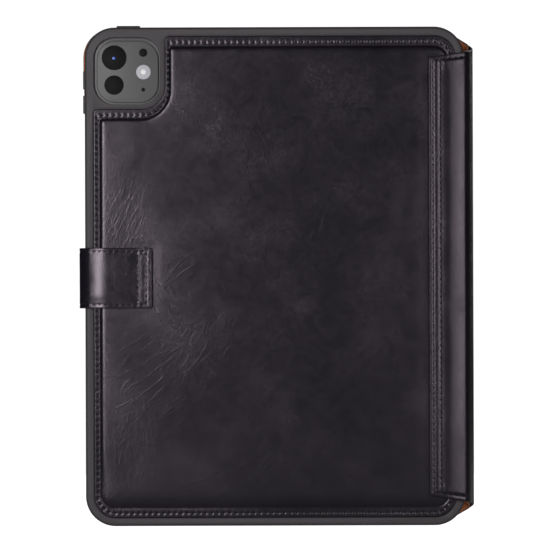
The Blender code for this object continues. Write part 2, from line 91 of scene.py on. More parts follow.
def grown(corners, by):
    """An anticlockwise outline moved outwards, or inwards where by is below 0."""
    moved = []
    for i, (x, z, radius) in enumerate(corners):
        here = Vector((x, z))
        before = (here - Vector(corners[i - 1][:2])).normalized()
        after = (Vector(corners[(i + 1) % len(corners)][:2]) - here).normalized()
        out = Vector((before.y + after.y, -before.x - after.x)) / (1 + before.dot(after))
        convex = before.cross(after) > 0
        spot = here + out * by
        moved.append((spot.x, spot.y, max(radius + (by if convex else -by), 0.15)))
    return moved


def counts_for(corners, spacing):
    """How many steps each corner's arc and the straight after it take, at about this spacing."""
    counts = []
    for i, (x, z, radius) in enumerate(corners):
        run = (Vector(corners[(i + 1) % len(corners)][:2]) - Vector((x, z))).length
        counts.append((max(5, math.ceil(radius * 1.6 / spacing)), max(1, math.ceil(run / spacing))))
    return counts


def trace(corners, counts):
    """Points round an outline, with arcs at its corners, as an array of rows (u, v)."""
    ends = []
    for i, (x, z, radius) in enumerate(corners):
        here = Vector((x, z))
        back = (Vector(corners[i - 1][:2]) - here).normalized()
        ahead = (Vector(corners[(i + 1) % len(corners)][:2]) - here).normalized()
        half = back.angle(ahead) / 2
        centre = here + (back + ahead).normalized() * radius / math.sin(half)
        spoke = here + back * radius / math.tan(half) - centre
        turn = math.copysign(math.pi - 2 * half, -back.cross(ahead))
        steps = counts[i][0]
        ends.append([centre + Matrix.Rotation(turn * k / steps, 2) @ spoke for k in range(steps + 1)])
    points = []
    for i, arc in enumerate(ends):
        points += arc
        start, stop, steps = arc[-1], ends[(i + 1) % len(ends)][0], counts[i][1]
        points += [start.lerp(stop, k / steps) for k in range(1, steps)]
    return np.array([tuple(p) for p in points])


def nearest_on(points, line, closed=True):
    """Each point's distance to a line, how far along it is, if it is inside it, and the line's length."""
    start, stop = (line, np.roll(line, -1, axis=0)) if closed else (line[:-1], line[1:])
    run = stop - start
    lengths = np.sqrt((run**2).sum(1))
    reach = np.concatenate(([0], np.cumsum(lengths)))[:-1]
    length2 = np.maximum(lengths**2, 1e-9)
    rise = np.where(run[:, 1] == 0, 1e-9, run[:, 1])
    distance, along, inside = (np.empty(len(points)) for _ in range(3))
    for low in range(0, len(points), 2000):
        p = points[low:low + 2000, None, :]
        share = np.clip(((p - start) * run).sum(2) / length2, 0, 1)
        gaps = (((start + share[..., None] * run) - p) ** 2).sum(2)
        best = gaps.argmin(1)
        rows = np.arange(len(best))
        distance[low:low + 2000] = np.sqrt(gaps[rows, best])
        along[low:low + 2000] = reach[best] + share[rows, best] * lengths[best]
        above = (start[:, 1] > p[..., 1]) != (stop[:, 1] > p[..., 1])
        crossed = above & (p[..., 0] < start[:, 0] + (p[..., 1] - start[:, 1]) * run[:, 0] / rise)
        inside[low:low + 2000] = crossed.sum(1) % 2
    return distance, along, inside > 0.5, lengths.sum()


def distance_inside(points, outline):
    """Signed distance from each point to a closed outline, above 0 inside it."""
    distance, _, inside, _ = nearest_on(points, outline)
    return np.where(inside, distance, -distance)


def seam_relief(points, near, line, closed=True, width=0.6, depth=0.1, puff=0.15):
    """The groove of a row of stitches: pulled down at each stitch, and puffed up between them."""
    height = np.zeros(len(points))
    distance, along, _, reach = nearest_on(points[near], line, closed)
    count = max(2, round(reach / STITCH_PITCH))
    wave = np.cos(2 * math.pi * along * count / reach)
    swell = np.exp(-((distance / PUFF_WIDTH) ** 2))
    height[near] = groove(distance, width, depth) + puff * swell * wave
    return height


def depth_inside(points, near, corners, beyond=30.0):
    """Signed distance into an outline where it matters, and a large one elsewhere."""
    found = np.full(len(points), beyond)
    found[near] = distance_inside(points[near], trace(corners, counts_for(corners, 2)))
    return found


# ---------------------------------------------------------------- flat sheets

EDGE_RINGS = (
    0, 0.08, 0.22, 0.42, 0.7, 1.1, 1.6, 2.1, 2.5, 2.9, 3.4, 3.8, 4.2, 4.7, 5.2, 5.7, 6.2, 6.8, 7.5,
)


def smooth(x, low, high):
    t = np.clip((x - low) / (high - low), 0, 1)
    return t * t * (3 - 2 * t)


class Sheet:
    """A flat sheet of rings along its outline and a grid. relief(points, inset) is its face's height."""

    def __init__(
        self, corners, relief, thickness, spacing=1.6, grid=2.6, u_lines=None, rings=EDGE_RINGS, edge=0.45
    ):
        self.corners, self.relief, self.thickness, self.edge = corners, relief, thickness, edge
        counts = counts_for(corners, spacing)
        loops = [trace(grown(corners, -d), counts) for d in rings]
        around = len(loops[0])
        outer = np.concatenate(loops[:-1])
        inner = loops[-1]
        low, high = inner.min(0), inner.max(0)
        us = np.arange(low[0] + grid / 2, high[0], grid) if u_lines is None else np.asarray(u_lines)
        vs = np.arange(low[1] + grid / 2, high[1], grid)
        lattice = np.stack(np.meshgrid(us, vs), -1).reshape(-1, 2)
        lattice = lattice[distance_inside(lattice, inner) > grid * 0.35]
        first = len(outer)
        wanted = [Vector(p) for p in np.concatenate((inner, lattice))]
        ring = list(range(around))
        made, _, faces, origin, _, _ = delaunay_2d_cdt(wanted, [], [ring], 1, 1e-5)
        number = [first + (o[0] if o else 0) for o in origin]
        self.flat = np.concatenate((outer, inner, lattice))
        self.faces = [tuple(number[k] for k in face) for face in faces]
        for k in range(len(loops) - 1):
            a, b = k * around, (k + 1) * around
            for j in range(around):
                n = (j + 1) % around
                self.faces.append((a + j, a + n, b + n, b + j))
        self.around = around
        self.inset = np.empty(len(self.flat))
        for k, d in enumerate(rings):
            self.inset[k * around:(k + 1) * around] = d
        fine = trace(corners, counts_for(corners, 3))
        self.inset[len(rings) * around:] = distance_inside(lattice, fine)

    def solid(self):
        """(points u v w, faces) of the closed sheet, its edges rounded."""
        r = self.edge
        d = np.clip(self.inset, 0, r)
        roll = r - np.sqrt(np.maximum(r * r - (r - d) ** 2, 0))
        face = self.relief(self.flat, self.inset)
        top = np.column_stack((self.flat, face - roll))
        back = np.column_stack((self.flat, face - self.thickness(self.flat, self.inset) + roll * 0.8))
        n = len(top)
        faces = list(self.faces)
        faces += [tuple(n + k for k in reversed(f)) for f in self.faces]
        for j in range(self.around):
            k = (j + 1) % self.around
            faces.append((j, n + j, n + k, k))
        return np.concatenate((top, back)), faces


def mesh_from(name, points, faces, uv=None):
    mesh = bpy.data.meshes.new(name)
    mesh.from_pydata([tuple(p) for p in points], [], faces, shade_flat=False)
    if uv is not None:
        layer = mesh.uv_layers.new(name="flat")
        corner = np.empty(len(mesh.loops), np.int32)
        mesh.loops.foreach_get("vertex_index", corner)
        layer.data.foreach_set("uv", uv[corner].astype(np.float32).ravel())
    mesh.validate()
    mesh.update()
    return mesh


def link(name, data):
    """A new object in the scene."""
    made = bpy.data.objects.new(name, data)
    bpy.context.scene.collection.objects.link(made)
    return made


def add(name, mesh, paint):
    obj = link(name, mesh)
    mesh.materials.append(paint)
    return obj


def face_outwards(mesh):
    shape = bmesh.new()
    shape.from_mesh(mesh)
    bmesh.ops.recalc_face_normals(shape, faces=shape.faces)
    shape.to_mesh(mesh)
    shape.free()


UV_SCALE = 0.01  # UV units per millimetre


def bent_sheet(name, sheet, route, paint, keep=None):
    """A sheet bent along its route. keep = (u, side) cuts it at u and keeps the side below or above it."""
    points, faces = sheet.solid()
    mesh = mesh_from(name, points, faces, points[:, :2] * UV_SCALE)
    face_outwards(mesh)
    if keep:
        u, side = keep
        shape = bmesh.new()
        shape.from_mesh(mesh)
        everything = shape.verts[:] + shape.edges[:] + shape.faces[:]
        cut = bmesh.ops.bisect_plane(
            shape, geom=everything, dist=1e-4, plane_co=(u, 0, 0), plane_no=(1, 0, 0),
            clear_outer=side == "below", clear_inner=side == "above",
        )
        rim = [e for e in cut["geom_cut"] if isinstance(e, bmesh.types.BMEdge)]
        made = bmesh.ops.contextual_create(shape, geom=rim)["faces"]
        for face in made:
            for edge in face.edges:
                edge.smooth = False
        shape.to_mesh(mesh)
        shape.free()
    co = np.empty(len(mesh.vertices) * 3)
    mesh.vertices.foreach_get("co", co)
    co = route(co.reshape(-1, 3))
    mesh.vertices.foreach_set("co", place(co).astype(np.float32).ravel())
    mesh.update()
    face_outwards(mesh)
    return add(name, mesh, paint)


# ---------------------------------------------------------------- routes round the folds


class Route:
    """A line seen from above, of straights and arcs, for bending a sheet. Its outside is on the right."""

    def __init__(self, start, heading, steps):
        """steps are (length, 0) for a straight and (radius, degrees) for an arc to the left."""
        self.knots = [(0.0, start[0], start[1], math.radians(heading), 0.0)]
        for size, turn in steps:
            u, x, y, h, _ = self.knots[-1]
            if turn:
                sweep = math.radians(turn)
                self.knots[-1] = (u, x, y, h, 1 / size)
                x += size * (math.sin(h + sweep) - math.sin(h))
                y -= size * (math.cos(h + sweep) - math.cos(h))
                self.knots.append((u + size * sweep, x, y, h + sweep, 0.0))
            else:
                self.knots.append((u + size, x + size * math.cos(h), y + size * math.sin(h), h, 0.0))

    def length(self):
        return self.knots[-1][0]

    def at(self, u):
        """(x, y, heading) at each u. Beyond its ends the route goes straight on."""
        u = np.asarray(u, float)
        table = np.array(self.knots)
        k = np.clip(np.searchsorted(table[:, 0], u, side="right") - 1, 0, len(table) - 1)
        du = u - table[k, 0]
        h0, bend = table[k, 3], table[k, 4]
        h = h0 + bend * du
        safe = np.where(bend == 0, 1, bend)
        x = table[k, 1] + np.where(bend == 0, du * np.cos(h0), (np.sin(h) - np.sin(h0)) / safe)
        y = table[k, 2] + np.where(bend == 0, du * np.sin(h0), -(np.cos(h) - np.cos(h0)) / safe)
        return x, y, h

    def __call__(self, points):
        """Sheet points (u, v, w) to case millimetres."""
        x, y, h = self.at(points[:, 0])
        w = points[:, 2]
        return np.column_stack((x + w * np.sin(h), y - w * np.cos(h), points[:, 1]))

    def u_lines(self, coarse, fine, low, high):
        """Where the sheet's grid lines go: close together on a tight arc, further apart on a straight."""
        lines, u = [], low
        table = np.array(self.knots)
        while u < high:
            k = max(np.searchsorted(table[:, 0], u, side="right") - 1, 0)
            tight = table[k, 4] > 0.05
            u += fine if tight else coarse
            if not tight and k + 1 < len(table):
                u = min(u, max(table[k + 1, 0], u - coarse + fine))
            lines.append(u)
        return np.array([line for line in lines if line < high])


def facing_back(y):
    """The route of a flat sheet on the back: u is X, and w goes out of the back."""
    return lambda p: np.column_stack((p[:, 0], y - p[:, 2], p[:, 1]))


def route_through(points, radii):
    """The route along a line of corners, each rounded by its radius."""
    points = [Vector(p) for p in points]
    steps, used = [], 0.0
    for i in range(1, len(points) - 1):
        before, after = points[i] - points[i - 1], points[i + 1] - points[i]
        turn = -before.angle_signed(after)
        cut = radii[i - 1] * math.tan(abs(turn) / 2)
        steps += [(before.length - used - cut, 0), (radii[i - 1], math.degrees(turn))]
        used = cut
    last = points[-1] - points[-2]
    steps.append((last.length - used, 0))
    first = points[1] - points[0]
    return Route(points[0], math.degrees(math.atan2(first.y, first.x)), steps)


# ---------------------------------------------------------------- sizes of the case

JOINTS = {joint["name"]: joint for joint in frame["joints"]}


def axis_of(joint):
    """(X, Y) of an upright hinge line in case millimetres."""
    return (np.array(JOINTS[joint]["pos_m"]) / MM - CASE_ORIGIN)[:2]


BACK_FOLD = axis_of("spine_hinge")
FRONT_FOLD = axis_of("cover_hinge")
SPINE_ALONG = (FRONT_FOLD - BACK_FOLD) / np.linalg.norm(FRONT_FOLD - BACK_FOLD)
SPINE_ACROSS = np.array((SPINE_ALONG[1], -SPINE_ALONG[0]))
SPINE_INNER, SPINE_OUTER = -0.9, 1.8

LEATHER = 1.15
LINING = 0.45
RIM = 0.3
PAD_RISE = 1.0

FLAP_LOW = case_box("flap_leather")[0]
COVER_LOW, COVER_HIGH = case_box("cover_leather")
LINING_LOW = case_box("cover_lining")[0]
SPINE_LOW, SPINE_HIGH = case_box("spine_leather")
TAB_LOW, TAB_HIGH = case_box("strap_tab_leather")
SIDE_LOW = case_box("strap_side_leather")[0]
BACK_LOW, BACK_HIGH = case_box("back_leather")

FLAP_X, FLAP_BOTTOM, FLAP_TOP = FLAP_LOW[0], 17.2, 270.8
FLAP_OUT, FLAP_IN = FLAP_LOW[1], case_box("flap_lining")[1][1]
FLAP_ROWS = (FLAP_X + 2.4, FLAP_X + 6.7)
FOLD_BACK_BOTTOM, FOLD_BACK_TOP = SPINE_LOW[2] + 0.6, SPINE_HIGH[2] - 2.5
FOLD_FRONT_BOTTOM, FOLD_FRONT_TOP = SPINE_LOW[2] - 0.9, SPINE_HIGH[2] - 1.0
CORNER_BOTTOM, CORNER_TOP = SPINE_LOW[2] - 2.6, SPINE_HIGH[2] + 0.9
COVER_LEFT, COVER_BOTTOM, COVER_TOP = COVER_LOW[0], COVER_LOW[2], COVER_HIGH[2]
COVER_RIM = COVER_HIGH[1] - PAD_RISE
COVER_IN = LINING_LOW[1]
COVER_CUT = 96.5
TAB_END = TAB_HIGH[0]
TAB_ROWS = (TAB_END - 8.6, TAB_END - 3.3)
STRAP_BOTTOM, STRAP_TOP = TAB_LOW[2], TAB_HIGH[2]
STRAP_OUT = SIDE_LOW[0]

BACK_CORNER, NOTCH_CORNER, NOTCH_END = 12.3, 13.5, 2.3
NOTCH_X, NOTCH_Z = -63.0, 241.0
STITCH_PITCH, STITCH_LENGTH, STITCH_SLANT = 3.5, 2.2, 24
THREAD_RADIUS, THREAD_SINK, THREAD_DIVE = 0.38, 0.24, 0.4
PUFF_WIDTH = 0.9
LINING_DIP = 0.4


def back_outline(left, right, bottom, top, notch_x, notch_z, corner, notch):
    return [
        (left, bottom, corner),
        (right, bottom, corner),
        (right, top, corner),
        (notch_x, top, NOTCH_END),
        (notch_x, notch_z, notch),
        (left, notch_z, NOTCH_END),
    ]


LEFT, RIGHT, BOTTOM, TOP = BACK_LOW[0], BACK_HIGH[0], BACK_LOW[2], BACK_HIGH[2]
BACK_RIM = back_outline(LEFT, RIGHT, BOTTOM, TOP, NOTCH_X, NOTCH_Z, BACK_CORNER, NOTCH_CORNER)
BACK_SEAM = back_outline(
    LEFT + 2, RIGHT - 2, BOTTOM + 2.6, TOP - 3.5,
    NOTCH_X + 1.7, NOTCH_Z - 3.5, BACK_CORNER - 2, NOTCH_CORNER + 2,
)
BACK_PAD = back_outline(
    LEFT + 3.6, RIGHT - 4.1, BOTTOM + 6, TOP - 6.1,
    NOTCH_X + 2.2, NOTCH_Z - 5.4, BACK_CORNER - 4, NOTCH_CORNER + 3,
)


def spine_line(across):
    """Two points of a line along the spine, seen from above."""
    return BACK_FOLD + SPINE_ACROSS * across, FRONT_FOLD + SPINE_ACROSS * across


def at_level(line, y):
    """Where a line seen from above crosses a level of Y."""
    (x0, y0), (x1, y1) = line
    return (x0 + (x1 - x0) * (y - y0) / (y1 - y0), y)


class Covering:
    """The route and the outline of one skin of flap, spine and front cover."""

    def __init__(self, back_y, across, front_y, radii, shrink, flare=0.0):
        line = spine_line(across)
        corners = [at_level(line, back_y), at_level(line, front_y)]
        end = (COVER_LEFT, front_y)
        self.route = route_through([(FLAP_X, back_y), *corners, end], radii)
        knots = self.route.knots
        self.fold_back = (knots[1][0] + knots[2][0]) / 2
        self.fold_front = (knots[3][0] + knots[4][0]) / 2
        self.middle = (self.fold_back + self.fold_front) / 2
        corners = [
            (0, FLAP_BOTTOM, 1.6),
            (self.fold_back, FOLD_BACK_BOTTOM, 6),
            (self.fold_front - 3, FOLD_FRONT_BOTTOM - flare / 2, 1.5),
            (self.fold_front + 0.5, CORNER_BOTTOM - flare, 3),
            (self.cover_u(COVER_CUT), COVER_BOTTOM, 9),
            (self.cover_u(COVER_LEFT + 1.1), COVER_BOTTOM, 17),
            (self.cover_u(COVER_LEFT + 1.1), COVER_TOP - 58, 80),
            (self.cover_u(COVER_LEFT), COVER_TOP - 24, 60),
            (self.cover_u(COVER_LEFT), COVER_TOP, 17),
            (self.cover_u(COVER_CUT), COVER_TOP, 9),
            (self.fold_front + 0.5, CORNER_TOP + flare, 3),
            (self.fold_front - 3, FOLD_FRONT_TOP + flare / 2, 1.5),
            (self.fold_back, FOLD_BACK_TOP, 6),
            (0, FLAP_TOP, 1.6),
        ]
        self.corners = grown(corners, -shrink)

    def cover_u(self, x):
        return self.route.length() + COVER_LEFT - x


OUTSIDE = Covering(FLAP_OUT, SPINE_OUTER, COVER_RIM, (2.6, 3.0), 0)
INSIDE = Covering(FLAP_IN, SPINE_INNER, COVER_IN, (1.0, 1.0), 0.3, 1.2)
COVER_PAD = grown(
    [
        (OUTSIDE.cover_u(COVER_CUT + 8), COVER_BOTTOM, 14),
        (OUTSIDE.cover_u(COVER_LEFT + 1.1), COVER_BOTTOM, 17),
        (OUTSIDE.cover_u(COVER_LEFT + 1.1), COVER_TOP, 17),
        (OUTSIDE.cover_u(COVER_CUT + 8), COVER_TOP, 14),
    ],
    -6.4,
)


# ---------------------------------------------------------------- relief of the leather


def noise_at(points, size, seed, octaves=3):
    """Smooth noise from about -1 to 1, of this size in millimetres."""
    return np.array([
        noise.fractal(Vector((u / size, v / size, seed)), 1.0, 2.0, octaves) for u, v in points[:, :2]
    ])


def padding(inset, sharpness):
    return 1 - np.exp(-np.maximum(inset, 0) / sharpness)


def groove(distance, width, depth):
    return -depth * np.exp(-((distance / width) ** 2))


def back_relief(points, inset):
    pad = depth_inside(points, inset < 20, BACK_PAD)
    u, v = points[:, 0], points[:, 1]
    softness = 0.75 + 2.6 * (1 - smooth(v, 10, 45))
    room = 1 - 0.12 * smooth(u, FLAP_X - 8, FLAP_X - 1)
    under_strap = (1 - smooth(u, TAB_END, TAB_END + 6)) * smooth(v, STRAP_BOTTOM - 6, STRAP_BOTTOM)
    under_strap *= 1 - smooth(v, STRAP_TOP, STRAP_TOP + 6)
    swell = 0.2 * noise_at(points, 70, 3.0, 1) + 0.03 * noise_at(points, 16, 8.0, 2)
    rise = PAD_RISE * room + swell * (1 - under_strap) - 0.15 * under_strap
    height = RIM + padding(pad, softness) * rise
    height += seam_relief(points, inset < 7, trace(BACK_SEAM, counts_for(BACK_SEAM, 0.8)))
    height += groove(pad + 0.35, 0.4, 0.42)
    return height


def flap_dip(x):
    """How far the flap sinks towards the tray's side, by X."""
    return -0.9 * np.clip((x - FLAP_ROWS[1] - 2) / 12.4, 0, 1) ** 2 * (1 - smooth(x, 111, 116))


def strap_dip(x):
    """How far the strap sinks towards the tray's side, by X."""
    share = np.maximum((STRAP_OUT + 16.4 - x) / 11.4, 0)
    curve = np.where(share < 1, share**2, 2 * share - 1)
    return -1.2 * curve * smooth(x, STRAP_OUT - 3, STRAP_OUT + 5.6)


def strap_fall(x):
    """How much thinner the strap's tab grows towards its end, by X."""
    return -0.03 * np.clip(x - STRAP_OUT - 15, 0, 18)


def flap_rows():
    """The flap's rows of stitches on the flat covering: round its edge, and the second row."""
    edge = trace(grown(OUTSIDE.corners, FLAP_X - FLAP_ROWS[0]), counts_for(OUTSIDE.corners, 0.8))
    kept = edge[edge[:, 0] < OUTSIDE.fold_back - 1.8]
    start = int(np.argmax(np.linalg.norm(np.diff(kept, axis=0), axis=1))) + 1
    row = FLAP_ROWS[1] - FLAP_X
    return np.roll(kept, -start, axis=0), trace_line(((row, FLAP_BOTTOM + 1.2), (row, FLAP_TOP - 1.2)))


def cover_row():
    edge = trace(grown(OUTSIDE.corners, -2.4), counts_for(OUTSIDE.corners, 0.8))
    kept = edge[edge[:, 0] > OUTSIDE.fold_front + 4]
    start = int(np.argmax(np.linalg.norm(np.diff(kept, axis=0), axis=1))) + 1
    return np.roll(kept, -start, axis=0)


def covering_relief(points, inset):
    u = points[:, 0]
    x = FLAP_X + u
    on_flap = u < OUTSIDE.middle
    on_cover = smooth(u, OUTSIDE.fold_front + 4, OUTSIDE.fold_front + 6)
    height = np.where(on_flap, flap_dip(x), 0)
    for row in flap_rows():
        height += seam_relief(points, on_flap & (x < 115), row, False, depth=0.14, puff=0.035)
    height += 0.11 * np.exp(-(((x - sum(FLAP_ROWS) / 2) / 1.1) ** 2)) * smooth(inset, 1.5, 3)
    past_rows = smooth(x, FLAP_ROWS[1] + 0.6, FLAP_ROWS[1] + 3.2)
    height += 0.3 * past_rows * (1 - smooth(x, 110, 115)) * smooth(inset, 2, 4.5)
    height += 0.05 * noise_at(points, 22, 5.0, 2) * smooth(x, 96, 99) * (1 - smooth(x, 104, 110))
    pad = depth_inside(points, ~on_flap & (inset < 20), COVER_PAD)
    swell = 0.16 * noise_at(points, 55, 6.0, 2)
    height += on_cover * (padding(pad, 1.5) * (PAD_RISE + swell) + groove(pad + 0.4, 0.5, 0.35))
    height += on_cover * seam_relief(points, ~on_flap & (inset < 6), cover_row(), False)
    return height


def trace_line(points, spacing=0.8):
    """Points close together along a line of corners."""
    points = np.asarray(points, float)
    parts = []
    for start, end in zip(points[:-1], points[1:]):
        steps = max(2, math.ceil(np.linalg.norm(end - start) / spacing))
        parts.append(start + (end - start) * np.linspace(0, 1, steps, endpoint=False)[:, None])
    return np.vstack((*parts, points[-1:]))


def covering_thickness(points, inset):
    """Turned edges fill the room down to the lining, and inside them is one layer of leather."""
    u = points[:, 0]
    rim = np.interp(
        u,
        (0, OUTSIDE.fold_back, OUTSIDE.fold_front, OUTSIDE.fold_front + 8),
        (FLAP_IN - FLAP_OUT, SPINE_OUTER - SPINE_INNER, COVER_RIM - COVER_IN, COVER_RIM - COVER_IN),
    ) - LINING
    return LEATHER + (rim - LEATHER) * (1 - smooth(inset, 2.3, 3.2))


STRAP_ROUTE = route_through(
    [
        (COVER_LEFT + 7, COVER_RIM - 1.2),
        (STRAP_OUT, COVER_RIM - 1.2),
        (STRAP_OUT, FLAP_OUT),
        (TAB_END, FLAP_OUT),
    ],
    (2.4, 5.6),
)
STRAP_LINING_ROUTE = route_through(
    [
        (COVER_LEFT + 7, COVER_IN + 0.6),
        (STRAP_OUT + 2.3, COVER_IN + 0.6),
        (STRAP_OUT + 2.3, FLAP_IN),
        (TAB_END, FLAP_IN),
    ],
    (0.6, 3.3),
)


def strap_outline(route, shrink):
    end = route.length()
    corners = [(0, STRAP_BOTTOM, 1.2), (end, STRAP_BOTTOM, 1.4), (end, STRAP_TOP, 1.4), (0, STRAP_TOP, 1.2)]
    return grown(corners, -shrink)


def strap_rows():
    """The strap's rows of stitches on the flat strap: round the tab, and the inner row."""
    end = STRAP_ROUTE.length()
    low, high = STRAP_BOTTOM + 2.1, STRAP_TOP - 2.1
    rows = [end - TAB_END + x for x in TAB_ROWS]
    bend_end = STRAP_ROUTE.knots[-2][0]
    around = trace_line(((bend_end + 0.8, low), (rows[1], low), (rows[1], high), (bend_end + 0.8, high)))
    return around, trace_line(((rows[0], low + 1), (rows[0], high - 1)))


def strap_relief(points, inset):
    x = TAB_END - (STRAP_ROUTE.length() - points[:, 0])
    on_tab = x > STRAP_OUT + 2
    height = strap_dip(x) + strap_fall(x)
    for row in strap_rows():
        height += seam_relief(points, on_tab, row, False, puff=0.03)
    height += groove(inset - 2.1, 0.6, 0.16) * ~on_tab * (points[:, 0] > 10)
    for row in TAB_ROWS:
        height += 0.05 * np.exp(-(((x - row - 1.2) / 0.6) ** 2)) * smooth(inset, 1.5, 3)
    height += 0.25 * smooth(inset, 2.3, 8) * (1 - smooth(x, TAB_ROWS[0] - 4, TAB_ROWS[0] - 1)) * on_tab
    height += 0.07 * noise_at(points, 12, 2.0, 2) * smooth(inset, 2.5, 6)
    return height


def strap_thickness(points, inset):
    x = TAB_END - (STRAP_ROUTE.length() - points[:, 0])
    full = np.where(points[:, 0] < 11, LEATHER, 2.3 - LINING - 0.05 + (1 - LINING_DIP) * strap_dip(x))
    full = np.maximum(full + strap_fall(x), LEATHER)
    return LEATHER + (full - LEATHER) * (1 - smooth(inset, 2.2, 3.0))


def even(value):
    return lambda points, inset: np.full(len(points), float(value))


def flap_skin_relief(points, inset):
    x = FLAP_X + points[:, 0]
    return LINING + np.where(points[:, 0] < INSIDE.middle, flap_dip(x), 0)


def strap_skin_relief(points, inset):
    x = TAB_END - (STRAP_LINING_ROUTE.length() - points[:, 0])
    return LINING + LINING_DIP * strap_dip(x)


# ---------------------------------------------------------------- materials


class Paint:
    """A material's nodes, with short names for the ones used here."""

    def __init__(self, name):
        self.material = bpy.data.materials.new(name)
        self.material.use_nodes = True
        self.tree = self.material.node_tree
        self.shader = self.tree.nodes["Principled BSDF"]
        self.source = self.tree.nodes.new("ShaderNodeTexCoord").outputs["Object"]

    def node(self, kind, inputs=(), **settings):
        made = self.tree.nodes.new(kind)
        for key, value in settings.items():
            setattr(made, key, value)
        for socket, value in dict(inputs).items():
            if isinstance(value, bpy.types.NodeSocket):
                self.tree.links.new(value, made.inputs[socket])
            else:
                made.inputs[socket].default_value = value
        return made

    def flat_source(self):
        """Millimetres on the flat sheet, so that the grain keeps to the leather as it bends."""
        uv = self.node("ShaderNodeUVMap", uv_map="flat").outputs[0]
        size = 1 / UV_SCALE
        self.source = self.node("ShaderNodeMapping", {"Vector": uv, "Scale": (size, size, size)}).outputs[0]

    def space_source(self):
        size = 1 / MM
        inputs = {"Vector": self.source, "Scale": (size, size, size)}
        self.source = self.node("ShaderNodeMapping", inputs).outputs[0]

    def moved(self, shift=(0, 0, 0), stretch=(1, 1, 1), turn=0.0, source=None):
        rotation = (0, 0, math.radians(turn))
        place_in = {"Vector": source or self.source, "Location": shift, "Rotation": rotation, "Scale": stretch}
        return self.node("ShaderNodeMapping", place_in).outputs[0]

    def noise(self, size, detail=3.0, rough=0.5, warp=0.0, source=None):
        inputs = {
            "Vector": source or self.source, "Scale": 1 / size, "Detail": detail, "Roughness": rough,
            "Distortion": warp,
        }
        return self.node("ShaderNodeTexNoise", inputs).outputs["Fac"]

    def cells(self, size, feature="DISTANCE_TO_EDGE", source=None):
        inputs = {"Vector": source or self.source, "Scale": 1 / size}
        return self.node("ShaderNodeTexVoronoi", inputs, feature=feature).outputs["Distance"]

    def math(self, operation, a, b=0.0, clamp=False):
        made = self.node("ShaderNodeMath", operation=operation, use_clamp=clamp)
        for socket, value in zip(made.inputs, (a, b)):
            if isinstance(value, bpy.types.NodeSocket):
                self.tree.links.new(value, socket)
            else:
                socket.default_value = value
        return made.outputs[0]

    def remap(self, value, low, high, to_low=0.0, to_high=1.0):
        inputs = {"Value": value, "From Min": low, "From Max": high, "To Min": to_low, "To Max": to_high}
        return self.node("ShaderNodeMapRange", inputs).outputs[0]

    def ramp(self, value, *stops):
        made = self.node("ShaderNodeValToRGB", {"Fac": value})
        points = made.color_ramp.elements
        while len(points) < len(stops):
            points.new(0.5)
        for point, (position, colour) in zip(points, stops):
            point.position = position
            point.color = (*colour, 1)
        return made.outputs[0]

    def patch(self, centre, size, turn=0.0):
        """1 in the middle of an oval patch of the sheet, fading to 0 at its edge."""
        local = self.moved(turn=-turn, source=self.moved(shift=(-centre[0], -centre[1], 0)))
        oval = self.moved(stretch=(1 / size[0], 1 / size[1], 0), source=local)
        length = self.node("ShaderNodeVectorMath", {0: oval}, operation="LENGTH").outputs["Value"]
        return self.remap(length, 0.45, 1.0, 1.0, 0.0)

    def lines(self, spacing, turn, warp, source=None):
        """Even fine ridges side by side, across the way that turn points."""
        turned = self.moved(turn=turn, source=source)
        inputs = {"Vector": turned, "Scale": 0.314 / spacing, "Distortion": warp}
        return self.node("ShaderNodeTexWave", inputs, wave_type="BANDS", bands_direction="X").outputs["Fac"]

    def wrinkles(self, spacing, turn, length=5.0, thin=0.06, shift=0.0):
        """Thin broken creases that run about the way that turn points."""
        local = self.moved(turn=-turn)
        local = self.moved(stretch=(1 / length, 1, 1), shift=(shift, shift, 0), source=local)
        wave = self.noise(spacing * 2.6, 2.5, 0.45, 0.25, source=local)
        off = self.math("ABSOLUTE", self.math("SUBTRACT", wave, 0.5))
        return self.remap(off, 0.0, thin, 1.0, 0.0)

    def bump(self, height, distance, strength=1.0, under=None):
        inputs = {"Height": height, "Distance": distance * MM, "Strength": strength}
        if under is not None:
            inputs["Normal"] = under
        return self.node("ShaderNodeBump", inputs).outputs[0]

    def finish(self, colour, roughness, normal, **sockets):
        for socket, value in (("Base Color", colour), ("Roughness", roughness), ("Normal", normal)):
            self.tree.links.new(value, self.shader.inputs[socket])
        for socket, value in sockets.items():
            self.shader.inputs[socket.replace("_", " ")].default_value = value
        return self.material


